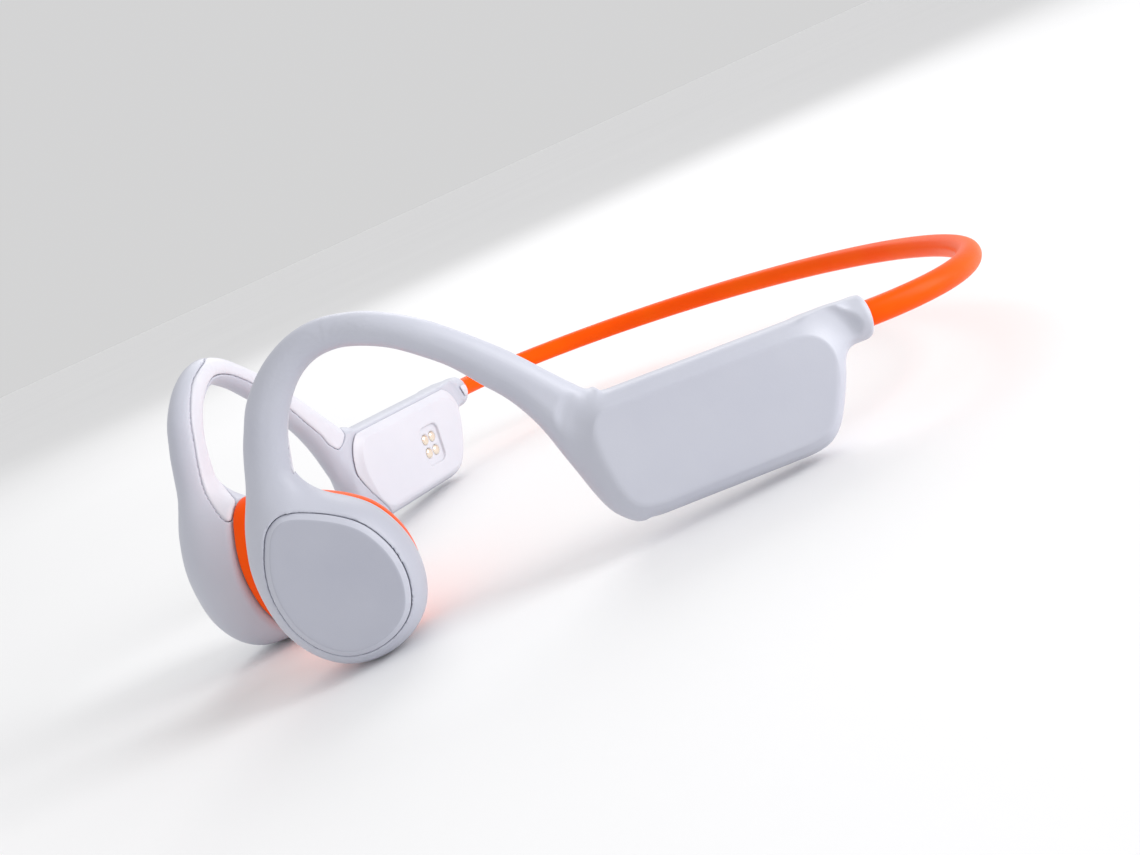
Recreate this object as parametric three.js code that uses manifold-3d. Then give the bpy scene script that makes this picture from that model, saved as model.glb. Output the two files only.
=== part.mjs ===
// Bone conduction headphones: a sprung neckband with an arm at each end.
// An arm is a pod behind the ear, a hook over it and a transducer in front of it.
// Millimetres, +Z up, the wearer faces -Y and their left side is +X.
import * as THREE from "three";
import { mergeVertices } from "three/addons/utils/BufferGeometryUtils.js";
import Module from "manifold-3d";

const wasm = await Module();
wasm.setup();
const { degToRad } = THREE.MathUtils;

// Overall form
const BAND_HALF_WIDTH = 62.4; // middle plane to where the band enters a pod
const BAND_REACH = 57; // back of the band behind the pods
const BAND_RISE = 1; // back of the band above the pods' collars
const BAND_SIDE_HANDLE = 29; // fullness of the band beside the pod
const BAND_BACK_HANDLE = 43.3; // fullness of the band across the nape
const CHEEK_HALF_WIDTH = 25.84; // middle plane to where the arms' own planes reach a transducer
const ARM_TILT = degToRad(-3.2); // tops of the arms lean in

// Clearances and walls
const GAP = 0.3; // between pieces that touch
const WALL = 1.2;
const BUTTON_TRAVEL = 0.3;
const VOLUME_TRAVEL = 0.35;
const DRIVER_TRAVEL = 0.25;
const CLICK_GAP = 0.05; // left above the button's switch at full travel

// Neckband
const BAND_DIAMETER = 4;
const BAND_BORE = 2.7;
const BAND_WIRE = 0.9;
const BAND_LEAD = 0.8;
const BAND_SEAT = 4.7; // length of sleeve held in a pod's collar
const BAND_STEPS = 32;

// Pod
const POD_LENGTH = 46.3;
const POD_TOP = 3.5; // above the band's centre
const POD_BOTTOM = -16.3;
const POD_THICKNESS = 8.6;
const POD_FOOT = 14.5; // rear corner of the underside, in front of the collar
const POD_EDGE = 2.2; // run of the rounded edge on each face
const COLLAR_RADIUS = 3.5;
const PARTING = -1.6; // where the inner cover meets the shell, across the pod

// Hook
const HOOK_WIRE = 0.9;
const HOOK_WIRE_BORE = 2;
const STRIP_DEPTH = 1;
const STRIP_ARC = degToRad(48); // half of the hook's inner side that the strip covers

// Transducer, measured from its own centre
const TRANSDUCER_FORWARD = 84; // in front of the collar
const TRANSDUCER_DROP = 8.6;
const TRANSDUCER_INSET = 8.5;
const TRANSDUCER_SPLAY = degToRad(4.4);
const TRANSDUCER_TILT = degToRad(2);
const CAP_FACE = 5.7; // outer face of the disc
const CAP_THICKNESS = 2.5;
const RIM_FACE = -6.5; // inner rim of the bowl
const BOWL_SWELL = 2.2; // widest outline outside the disc's seam
const PAD_THICKNESS = 3.6;
const PAD_BACK = 1.2; // the pad sits this far behind the disc's outline
const PAD_RISE = 0.6;
const PAD_SWELL = 0.9;
const FLOOR_FACE = -0.6; // driver side of the bowl's floor
// Arms run in towards the face, until their transducers are a cheek's width apart.
const ARM_SPLAY = Math.asin((BAND_HALF_WIDTH - CHEEK_HALF_WIDTH) / TRANSDUCER_FORWARD);

// Driver
const MAGNET_RADIUS = 3.6;
const MAGNET_HEIGHT = 1.4;
const POLE_HEIGHT = 0.6;
const COIL_WALL = 0.8;
const COIL_HEIGHT = 2.2;
const COIL_GAP = 0.6; // between the magnet and the coil, and the coil and the yoke
const YOKE_WALL = 0.9;
const YOKE_HEIGHT = 3.5;
const YOKE_RADIUS = MAGNET_RADIUS + COIL_GAP + COIL_WALL + COIL_GAP + YOKE_WALL;
const SPRING_THICKNESS = 0.25;

// Electronics
const BATTERY = { length: 27, height: 11.5, thickness: 4.4, corner: 1.5, ease: 0.6 };
const BOARD_THICKNESS = 0.8;
const BOARD_CORNER = 2.2;
const BUTTON_BOARD_RADIUS = 5;
const BUTTON_SWITCH_RADIUS = 2;
const SHIELD_CAN = { length: 14, height: 9, thickness: 1.8, corner: 0.6, centre: [28, -4.5] };
const CARRIER = { length: 8, height: 8.5, corner: 1 };
const PIN_RADIUS = 0.5;
const PIN_HOLE_RADIUS = 0.85;
const CONTACT_DOME = 0.25;
const CONTACT_RADIUS = 1.05;
const CONTACT_SPACING = [2.6, 3]; // along and across the pod
const CONTACT_CENTRE = [20, -7];
const DOCK_RECESS = { length: 6.7, height: 8.3, depth: 0.6, corner: 1.5 };
const DOCK_MAGNET_RADIUS = 1.9;
const DOCK_MAGNET_OFFSET = 6.8; // along the pod from the contacts' centre
const VOLUME_KEY = { length: 7, width: 2.4, proud: 0.5, inside: 0.9, across: 1.4, corner: 1.1 };
const VOLUME_KEYS = { volume_up: 34, volume_down: 24 }; // forward from the collar
const SWITCH = { length: 4, height: 1.6, width: 2 };
const MICROPHONE = { length: 3, height: 2.2, width: 1.2 };

const soft = { roughness: 0.55, metalness: 0 };
const MATERIALS = {
  shell: new THREE.MeshStandardMaterial({ color: 0xcfd0da, ...soft }),
  cover: new THREE.MeshStandardMaterial({ color: 0xe4e4ea, ...soft }),
  disc: new THREE.MeshStandardMaterial({ color: 0xa9abb8, ...soft }),
  orange: new THREE.MeshStandardMaterial({ color: 0xff5a10, roughness: 0.4, metalness: 0 }),
  steel: new THREE.MeshStandardMaterial({ color: 0xb8bbc0, roughness: 0.35, metalness: 1 }),
  copper: new THREE.MeshStandardMaterial({ color: 0xb87333, roughness: 0.4, metalness: 1 }),
  gold: new THREE.MeshStandardMaterial({ color: 0xd9b36a, roughness: 0.25, metalness: 1 }),
  board: new THREE.MeshStandardMaterial({ color: 0x1f6b45, roughness: 0.5, metalness: 0 }),
  black: new THREE.MeshStandardMaterial({ color: 0x222226, roughness: 0.6, metalness: 0 }),
  foil: new THREE.MeshStandardMaterial({ color: 0x9aa0a8, roughness: 0.5, metalness: 0.6 }),
};

// Solids

function toSolid(geometry) {
  const bare = geometry.index ? geometry.toNonIndexed() : geometry.clone();
  bare.deleteAttribute("normal");
  bare.deleteAttribute("uv");
  const merged = mergeVertices(bare, 1e-4);
  return new wasm.Manifold(
    new wasm.Mesh({
      numProp: 3,
      vertProperties: merged.attributes.position.array,
      triVerts: new Uint32Array(merged.index.array),
    }),
  );
}

function toGeometry(solid) {
  const mesh = solid.getMesh();
  const geometry = new THREE.BufferGeometry();
  geometry.setAttribute("position", new THREE.BufferAttribute(mesh.vertProperties, 3));
  geometry.setIndex(new THREE.BufferAttribute(mesh.triVerts, 1));
  geometry.computeVertexNormals();
  return geometry;
}

function join(...geometries) {
  return toGeometry(geometries.map(toSolid).reduce((a, b) => a.add(b)));
}

function cut(geometry, ...tools) {
  return toGeometry(tools.map(toSolid).reduce((a, b) => a.subtract(b), toSolid(geometry)));
}

function common(a, b) {
  return toGeometry(toSolid(a).intersect(toSolid(b)));
}

// An outline is given as [forward, up] pairs; across the arm is x and rearward is y.
function outline(points) {
  return points.map(([forward, up]) => new THREE.Vector2(-forward, up));
}

function smoothLoop(points, count) {
  const loop = points.map(([forward, up]) => new THREE.Vector3(-forward, up, 0));
  const curve = new THREE.CatmullRomCurve3(loop, true);
  return curve.getSpacedPoints(count).slice(0, count).map((p) => new THREE.Vector2(p.x, p.y));
}

function roundedRectangle(length, height, corner, [forward, up], arcSteps = 3) {
  const points = [];
  for (let i = 0; i < 4; i++) {
    const sideX = i === 0 || i === 3 ? 1 : -1;
    const sideY = i < 2 ? 1 : -1;
    for (let j = 0; j <= arcSteps; j++) {
      const angle = (i + j / arcSteps) * (Math.PI / 2);
      points.push([
        forward - sideX * (length / 2 - corner) - Math.cos(angle) * corner,
        up + sideY * (height / 2 - corner) + Math.sin(angle) * corner,
      ]);
    }
  }
  return outline(points);
}

function grown(points, amount) {
  if (THREE.ShapeUtils.isClockWise(points)) points = [...points].reverse();
  return points.map((p, i) => {
    const before = points[(i + points.length - 1) % points.length];
    const after = points[(i + 1) % points.length];
    const a = new THREE.Vector2(p.y - before.y, before.x - p.x).normalize();
    const b = new THREE.Vector2(after.y - p.y, p.x - after.x).normalize();
    const normal = a.add(b).normalize();
    return new THREE.Vector2(p.x + normal.x * amount, p.y + normal.y * amount);
  });
}

// A closed skin over rings of equal count, with a fan over each end.
function skin(rings) {
  const positions = [];
  const index = [];
  const count = rings[0].length;
  for (const ring of rings) for (const p of ring) positions.push(p.x, p.y, p.z);
  for (let i = 0; i + 1 < rings.length; i++)
    for (let j = 0; j < count; j++) {
      const a = i * count + j;
      const b = i * count + ((j + 1) % count);
      index.push(a, b, b + count, a, b + count, a + count);
    }
  for (const end of [0, rings.length - 1]) {
    const middle = new THREE.Vector3();
    for (const p of rings[end]) middle.addScaledVector(p, 1 / count);
    positions.push(middle.x, middle.y, middle.z);
    const hub = positions.length / 3 - 1;
    for (let j = 0; j < count; j++) {
      const a = end * count + j;
      const b = end * count + ((j + 1) % count);
      if (end === 0) index.push(b, a, hub);
      else index.push(a, b, hub);
    }
  }
  const geometry = new THREE.BufferGeometry();
  geometry.setAttribute("position", new THREE.Float32BufferAttribute(positions, 3));
  geometry.setIndex(index);
  return geometry;
}

// An outline stacked across the arm: layers are [x, growth], with x rising.
function stack(points, layers) {
  return skin(
    layers.map(([x, growth]) => grown(points, growth).map((p) => new THREE.Vector3(x, p.x, p.y))),
  );
}

function plate(points, from, to) {
  return stack(points, [
    [from, 0],
    [to, 0],
  ]);
}

function box(forward, up, across) {
  const size = [across[1] - across[0], forward[1] - forward[0], up[1] - up[0]];
  const geometry = new THREE.BoxGeometry(...size);
  return geometry.translate(
    (across[0] + across[1]) / 2,
    -(forward[0] + forward[1]) / 2,
    (up[0] + up[1]) / 2,
  );
}

// A turned piece about the across axis: profile is [radius, x] pairs.
function turned(profile, sides) {
  const points = profile.map(([radius, x]) => new THREE.Vector2(radius, x));
  return new THREE.LatheGeometry(points, sides).rotateZ(-Math.PI / 2);
}

function disc(radius, from, to, sides = 16) {
  const profile = [
    [0, from],
    [radius, from],
    [radius, to],
    [0, to],
  ];
  return turned(profile, sides);
}

function ring(inner, outer, from, to, sides = 20) {
  const profile = [
    [inner, from],
    [outer, from],
    [outer, to],
    [inner, to],
    [inner, from],
  ];
  return turned(profile, sides);
}

function circleShape(radius, sides, offset = 0) {
  const points = [];
  for (let i = 0; i < sides; i++) {
    const angle = (i / sides) * 2 * Math.PI;
    points.push(
      new THREE.Vector2(Math.cos(angle) * radius + offset, Math.sin(angle) * radius),
    );
  }
  return new THREE.Shape(points);
}

function tube(path, shape, steps) {
  return new THREE.ExtrudeGeometry(shape, { extrudePath: path, steps, bevelEnabled: false });
}

function place(group, name, geometry, material) {
  const mesh = new THREE.Mesh(geometry, material.clone());
  mesh.name = name;
  group.add(mesh);
  return mesh;
}

// Neckband

const rearward = new THREE.Vector3(Math.sin(ARM_SPLAY), Math.cos(ARM_SPLAY), 0);

function neckbandPath(seat) {
  const side = (sign) => {
    const flip = (v) => new THREE.Vector3(v.x * sign, v.y, v.z);
    const exit = new THREE.Vector3(BAND_HALF_WIDTH, 0, 0);
    return {
      inside: flip(exit.clone().addScaledVector(rearward, -seat)),
      exit: flip(exit),
      handle: flip(exit.clone().addScaledVector(rearward, BAND_SIDE_HANDLE)),
      back: flip(new THREE.Vector3(BAND_BACK_HANDLE, BAND_REACH, BAND_RISE)),
    };
  };
  const left = side(1);
  const right = side(-1);
  const apex = new THREE.Vector3(0, BAND_REACH, BAND_RISE);
  const path = new THREE.CurvePath();
  path.add(new THREE.LineCurve3(left.inside, left.exit));
  path.add(new THREE.CubicBezierCurve3(left.exit, left.handle, left.back, apex));
  path.add(new THREE.CubicBezierCurve3(apex, right.back, right.handle, right.exit));
  path.add(new THREE.LineCurve3(right.exit, right.inside));
  return path;
}

const FERRULE_LENGTH = 3;
const FERRULE_START = BAND_SEAT + GAP;
const WIRE_SEAT = FERRULE_START + FERRULE_LENGTH + 1;
const wireOffset = (BAND_WIRE + GAP) / 2;
const leadOffset = (BAND_LEAD + GAP) / 2;

function neckband() {
  const group = new THREE.Group();
  const sleeve = circleShape(BAND_DIAMETER / 2, 12);
  sleeve.holes.push(circleShape(BAND_BORE / 2, 10));
  place(
    group, "neckband_sleeve", tube(neckbandPath(BAND_SEAT), sleeve, BAND_STEPS), MATERIALS.orange,
  );
  const wire = circleShape(BAND_WIRE / 2, 6, wireOffset);
  place(
    group, "neckband_spring_wire", tube(neckbandPath(WIRE_SEAT), wire, BAND_STEPS),
    MATERIALS.steel,
  );
  const lead = circleShape(BAND_LEAD / 2, 6, -leadOffset);
  place(
    group, "neckband_lead_cable", tube(neckbandPath(WIRE_SEAT), lead, BAND_STEPS),
    MATERIALS.black,
  );
  return group;
}

// Pod

const half = POD_THICKNESS / 2;
const podOutline = outline([
  [0, POD_TOP],
  [20, POD_TOP],
  [POD_LENGTH - 3.5, POD_TOP],
  [POD_LENGTH - 0.8, POD_TOP - 2.3],
  [POD_LENGTH, POD_TOP - 6.5],
  [POD_LENGTH - 0.6, POD_BOTTOM + 7.3],
  [POD_LENGTH - 2, POD_BOTTOM + 3.2],
  [POD_LENGTH - 4.4, POD_BOTTOM + 0.8],
  [POD_LENGTH - 7.9, POD_BOTTOM],
  [POD_FOOT, POD_BOTTOM],
  [10.5, POD_BOTTOM + 1],
  [8, POD_BOTTOM + 4],
  [5.5, POD_BOTTOM + 9],
  [3.1, -COLLAR_RADIUS - 1.2],
  [0, -COLLAR_RADIUS],
]);

function podForm() {
  return stack(podOutline, [
    [-half, -POD_EDGE],
    [-half + 0.5, -POD_EDGE * 0.5],
    [-half + 1.6, -POD_EDGE * 0.1],
    [0, 0],
    [half - 1.6, -POD_EDGE * 0.1],
    [half - 0.5, -POD_EDGE * 0.5],
    [half, -POD_EDGE],
  ]);
}

const cavity = {
  rear: 10.2,
  front: POD_LENGTH - 4,
  top: POD_TOP - WALL - 0.2,
  bottom: POD_BOTTOM + WALL + 0.2,
  half: half - WALL,
};

function podCavity() {
  const size = [cavity.front - cavity.rear, cavity.top - cavity.bottom];
  const middle = [(cavity.front + cavity.rear) / 2, (cavity.top + cavity.bottom) / 2];
  return stack(roundedRectangle(size[0], size[1], 2.5, middle), [
    [-cavity.half, -1],
    [-cavity.half + 1, 0],
    [cavity.half - 1, 0],
    [cavity.half, -1],
  ]);
}

function alongPod(geometry) {
  return geometry.rotateZ(Math.PI / 2);
}

function collarBore() {
  const seat = disc(BAND_DIAMETER / 2 + GAP, -WALL, FERRULE_START + FERRULE_LENGTH + GAP, 12);
  const throat = disc(BAND_BORE / 2 + GAP, 0, cavity.rear + WALL, 12);
  return alongPod(join(seat, throat)).rotateZ(Math.PI);
}

function innerSide(face) {
  return box([-10, POD_LENGTH + 10], [POD_BOTTOM - 10, POD_TOP + 10], [-half - 10, face]);
}

function coverSeat() {
  const reach = POD_THICKNESS;
  return plate(grown(podOutline, GAP / 2), PARTING - reach, PARTING + GAP / 2);
}

function dockRecess() {
  const { length, height, depth, corner } = DOCK_RECESS;
  return plate(
    roundedRectangle(length, height, corner, CONTACT_CENTRE), -half - 1, -half + depth,
  );
}

function contactPlaces() {
  const [dx, dy] = CONTACT_SPACING;
  return [-1, 1].flatMap((a) =>
    [-1, 1].map((b) => [CONTACT_CENTRE[0] + (a * dx) / 2, CONTACT_CENTRE[1] + (b * dy) / 2]),
  );
}

function at(geometry, [forward, up]) {
  return geometry.translate(0, -forward, up);
}

function podInnerCover(hasDock) {
  let cover = common(podForm(), innerSide(PARTING - GAP / 2));
  cover = cut(cover, podCavity(), collarBore());
  if (!hasDock) return cover;
  const holes = contactPlaces().map((spot) =>
    at(disc(CONTACT_RADIUS + GAP, -half - 1, 0, 10), spot),
  );
  return cut(cover, dockRecess(), ...holes);
}

// Hook: stations from the pod's front end to the transducer's centre. share is how far along
// that run a station hangs, and its edges are forward of there and up. across is its middle
// across the arm, and half is half its thickness.

function hookStation(share, outer, inner, across, half) {
  const datum = POD_LENGTH + (TRANSDUCER_FORWARD - POD_LENGTH) * share;
  const hang = ([forward, up]) => [datum + forward, up];
  return { outer: hang(outer), inner: hang(inner), across, half };
}

const hookStations = [
  hookStation(0, [-6.3, 1.5], [-5.3, -13], 0, POD_THICKNESS / 2 - 1.3),
  hookStation(0, [-2.2, 6], [-0.7, -11], 0, POD_THICKNESS / 2 - 0.9),
  hookStation(0, [0.3, 8.8], [2, -4], 0.2, 3.2),
  hookStation(0.1, [0.5, 13.1], [1.9, 5], 0.4, 2.9),
  hookStation(0.25, [-0.1, 17.7], [1.3, 11.6], 0.5, 2.7),
  hookStation(0.45, [-0.8, 22.9], [1, 18.3], 0.2, 2.6),
  hookStation(0.65, [-0.7, 26.2], [0.1, 21.4], -2, 2.6),
  hookStation(0.8, [-0.2, 26.7], [-1.2, 21.8], -3.7, 2.6),
  hookStation(0.9, [1.8, 24.5], [-1, 20], -5, 2.7),
  hookStation(1, [2.9, 20.7], [-1.8, 16.6], -6, 2.8),
  hookStation(1, [6, 14.2], [0, 12], -6.9, 3),
  hookStation(1, [8.3, 8], [0.6, 6.3], -7.6, 3.4),
  hookStation(1, [9.6, 3], [-2.8, 2.6], -8.1, 3.8),
  hookStation(1, [10, -3], [-7, -1], -8.5, 4),
];

// The point at an angle round a station's section: 0 faces the head, and a quarter turn on
// is the inner edge.
function sectionPoint(station, angle, depth = 0) {
  const { outer, inner, across } = station;
  const middle = [(outer[0] + inner[0]) / 2, (outer[1] + inner[1]) / 2];
  const reach = [(outer[0] - inner[0]) / 2, (outer[1] - inner[1]) / 2];
  const width = Math.hypot(...reach);
  const share = -Math.sin(angle) * (1 - depth / width);
  const through = -Math.cos(angle) * (station.half - depth);
  return new THREE.Vector3(
    across + through,
    -(middle[0] + reach[0] * share),
    middle[1] + reach[1] * share,
  );
}

function hookForm(sides = 12) {
  return skin(
    hookStations.map((station) => {
      const ring = [];
      for (let i = 0; i < sides; i++)
        ring.push(sectionPoint(station, (i / sides) * 2 * Math.PI));
      return ring;
    }),
  );
}

// The strip let into the hook's inner side; grow makes the groove that it lies in.
function hookStrip(grow) {
  const arc = STRIP_ARC + (grow ? degToRad(6) : 0);
  const steps = 4;
  const lift = grow ? -1.5 : 0;
  const stations = hookStations.slice(grow ? 1 : 2, -2);
  return skin(
    stations.map((station) => {
      const ring = [];
      for (let i = 0; i <= steps; i++) {
        const angle = arc * ((2 * i) / steps - 1);
        ring.push(sectionPoint(station, angle, lift));
      }
      for (let i = steps; i >= 0; i--) {
        const angle = arc * ((2 * i) / steps - 1);
        ring.push(sectionPoint(station, angle, STRIP_DEPTH + (grow ? GAP : 0)));
      }
      return ring;
    }),
  );
}

function hookPath(extra) {
  const centres = hookStations.map((station) => {
    const { outer, inner, across } = station;
    return new THREE.Vector3(
      across + 0.5,
      -(outer[0] + inner[0]) / 2,
      (outer[1] + inner[1]) / 2,
    );
  });
  centres[0].y += extra;
  centres[centres.length - 1].z -= extra;
  return new THREE.CatmullRomCurve3(centres);
}

// Transducer, in its own frame: x is out from the head

const discLoop = [
  [8.4, 7.3], [7.2, 9.7], [5.5, 11.1], [3.5, 11.4], [0.7, 10.5], [-3.1, 8.5], [-6.1, 6],
  [-8.2, 2.4], [-9.1, -1.3], [-8.9, -4.9], [-7.6, -8], [-4.8, -10.3], [-1, -11.4], [2.8, -10.9],
  [6, -8.7], [8.4, -5.2], [9.5, -1.4], [9.7, 1.8], [9.3, 4.6],
];
const DISC_BOTTOM = -11.4;
const egg = smoothLoop(discLoop, 24);
const CAP_BACK = CAP_FACE - CAP_THICKNESS;
const RECESS_FLOOR = FLOOR_FACE + WALL;

function inTransducer(geometry) {
  const turn = new THREE.Euler(0, TRANSDUCER_TILT, -TRANSDUCER_SPLAY, "ZYX");
  const matrix = new THREE.Matrix4().makeRotationFromEuler(turn);
  matrix.setPosition(-TRANSDUCER_INSET, -TRANSDUCER_FORWARD, -TRANSDUCER_DROP);
  return geometry.applyMatrix4(matrix);
}

function bowlForm() {
  return stack(egg, [
    [RIM_FACE, BOWL_SWELL * 0.2],
    [RIM_FACE + 1.5, BOWL_SWELL * 0.6],
    [RIM_FACE + 3.5, BOWL_SWELL * 0.9],
    [0, BOWL_SWELL],
    [2.6, BOWL_SWELL * 0.85],
    [4.6, BOWL_SWELL * 0.4],
    [CAP_FACE - 0.5, GAP],
  ]);
}

function driverCavity() {
  return stack(egg, [
    [RIM_FACE - 1, 0.5 - WALL],
    [FLOOR_FACE, BOWL_SWELL - WALL - 1],
  ]);
}

function capRecess() {
  return plate(grown(egg, GAP / 2), RECESS_FLOOR, CAP_FACE + 1);
}

function capForm() {
  return stack(egg, [
    [CAP_BACK, -GAP / 2],
    [CAP_FACE - 0.5, -GAP / 2],
    [CAP_FACE, -1],
  ]);
}

const PLATE_FACE = RIM_FACE + 0.9; // driver side of the contact plate
const PAD_BASE = RIM_FACE - DRIVER_TRAVEL - GAP / 2;

function contactPad() {
  const pad = stack(egg, [
    [PAD_BASE - PAD_THICKNESS, PAD_SWELL - 3.5],
    [PAD_BASE - PAD_THICKNESS + 0.6, PAD_SWELL - 1.2],
    [PAD_BASE - PAD_THICKNESS + 1.4, PAD_SWELL - 0.2],
    [PAD_BASE, PAD_SWELL],
  ]);
  return pad.translate(0, PAD_BACK, PAD_RISE);
}

function contactPlate() {
  return plate(grown(egg, -WALL - 1), PAD_BASE + GAP, PLATE_FACE);
}

// Driver stack, from the floor of the bowl towards the head

const YOKE_BACK = FLOOR_FACE - GAP;
const MAGNET_BACK = YOKE_BACK - YOKE_WALL - GAP;
const POLE_BACK = MAGNET_BACK - MAGNET_HEIGHT - GAP;
const COIL_INNER = MAGNET_RADIUS + COIL_GAP;
const COIL_END = PLATE_FACE + GAP;

function yoke() {
  const back = YOKE_BACK;
  const front = YOKE_BACK - YOKE_HEIGHT;
  const bore = YOKE_RADIUS - YOKE_WALL;
  const profile = [
    [0, back - YOKE_WALL],
    [bore, back - YOKE_WALL],
    [bore, front],
    [YOKE_RADIUS, front],
    [YOKE_RADIUS, back],
    [0, back],
  ];
  return turned(profile, 20);
}

function suspensionSpring() {
  const front = YOKE_BACK - YOKE_HEIGHT - GAP;
  const back = front - SPRING_THICKNESS;
  const band = ring(YOKE_RADIUS - 0.9, YOKE_RADIUS - 0.1, back, front, 18);
  const legs = [0, 1, 2].map((i) => {
    const leg = box([YOKE_RADIUS - 0.5, YOKE_RADIUS + 0.7], [-1, 1], [back, front]);
    return leg.rotateX((i * 2 * Math.PI) / 3);
  });
  return join(band, ...legs);
}

function driver(group, side) {
  const add = (name, geometry, material) =>
    place(group, side + "_" + name, inTransducer(geometry), material);
  add("skin_contact_pad", contactPad(), MATERIALS.orange);
  add("contact_plate", contactPlate(), MATERIALS.steel);
  add(
    "voice_coil", ring(COIL_INNER, COIL_INNER + COIL_WALL, COIL_END, COIL_END + COIL_HEIGHT),
    MATERIALS.copper,
  );
  add("driver_yoke", yoke(), MATERIALS.steel);
  add(
    "driver_magnet", disc(MAGNET_RADIUS, MAGNET_BACK - MAGNET_HEIGHT, MAGNET_BACK),
    MATERIALS.foil,
  );
  add("pole_plate", disc(MAGNET_RADIUS, POLE_BACK - POLE_HEIGHT, POLE_BACK), MATERIALS.steel);
  add("suspension_spring", suspensionSpring(), MATERIALS.steel);
}

// Arm

function volumeKey(forward, grow) {
  const { length, width, proud, inside, across, corner } = VOLUME_KEY;
  const rounded = roundedRectangle(length + 2 * grow, width + 2 * grow, corner, [0, 0]);
  const depth = proud + WALL + inside;
  const key = plate(rounded, 0, grow ? depth + 2 : depth);
  // The plate's thickness turns to point down through the pod's underside.
  key.rotateY(Math.PI / 2);
  return key.translate(across, -forward, POD_BOTTOM - proud + depth);
}

function armShell(isRight) {
  const form = join(podForm(), hookForm(), inTransducer(bowlForm()));
  const tools = [
    coverSeat(),
    podCavity(),
    collarBore(),
    inTransducer(driverCavity()),
    inTransducer(capRecess()),
    hookStrip(true),
    tube(hookPath(3), circleShape(HOOK_WIRE_BORE / 2, 8), 22),
  ];
  if (isRight) for (const forward of Object.values(VOLUME_KEYS)) tools.push(volumeKey(forward, GAP));
  return cut(form, ...tools);
}

function arm(side) {
  const group = new THREE.Group();
  const isRight = side === "right";
  const add = (name, geometry, material) =>
    place(group, side + "_" + name, geometry, material);
  add("arm_shell", armShell(isRight), MATERIALS.shell);
  add("pod_inner_cover", podInnerCover(isRight), MATERIALS.cover);
  add("hook_inner_strip", hookStrip(false), MATERIALS.cover);
  add("hook_spring_wire", tube(hookPath(1), circleShape(HOOK_WIRE / 2, 6), 22), MATERIALS.steel);
  const ferrule = ring(
    BAND_BORE / 2, BAND_DIAMETER / 2, FERRULE_START, FERRULE_START + FERRULE_LENGTH, 12,
  );
  add("band_ferrule", alongPod(ferrule).rotateZ(Math.PI), MATERIALS.steel);
  driver(group, side);
  group.rotation.set(0, ARM_TILT, -ARM_SPLAY, "ZYX");
  group.position.set(BAND_HALF_WIDTH, 0, 0);
  return group;
}

function leftElectronics(group) {
  const add = (name, geometry, material) => place(group, "left_" + name, geometry, material);
  add("multifunction_button", inTransducer(capForm()), MATERIALS.disc);
  const boardFace = RECESS_FLOOR + GAP;
  add(
    "button_board",
    inTransducer(disc(BUTTON_BOARD_RADIUS, boardFace, boardFace + BOARD_THICKNESS)),
    MATERIALS.board,
  );
  const switchFace = boardFace + BOARD_THICKNESS + GAP;
  add(
    "tactile_switch",
    inTransducer(disc(BUTTON_SWITCH_RADIUS, switchFace, CAP_BACK - BUTTON_TRAVEL - CLICK_GAP, 12)),
    MATERIALS.black,
  );
  const { length, height, thickness, corner, ease } = BATTERY;
  const middle = [cavity.rear + GAP + length / 2, (cavity.top + cavity.bottom) / 2];
  add(
    "battery",
    stack(roundedRectangle(length, height, corner, middle), [
      [-thickness / 2, -ease],
      [-thickness / 2 + ease, 0],
      [thickness / 2 - ease, 0],
      [thickness / 2, -ease],
    ]),
    MATERIALS.foil,
  );
}

function microphone(across) {
  const { length, height, width } = MICROPHONE;
  const front = cavity.front - 1;
  const bottom = cavity.bottom + 3;
  return box([front - length, front], [bottom, bottom + height], [across, across + width]);
}

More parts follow.
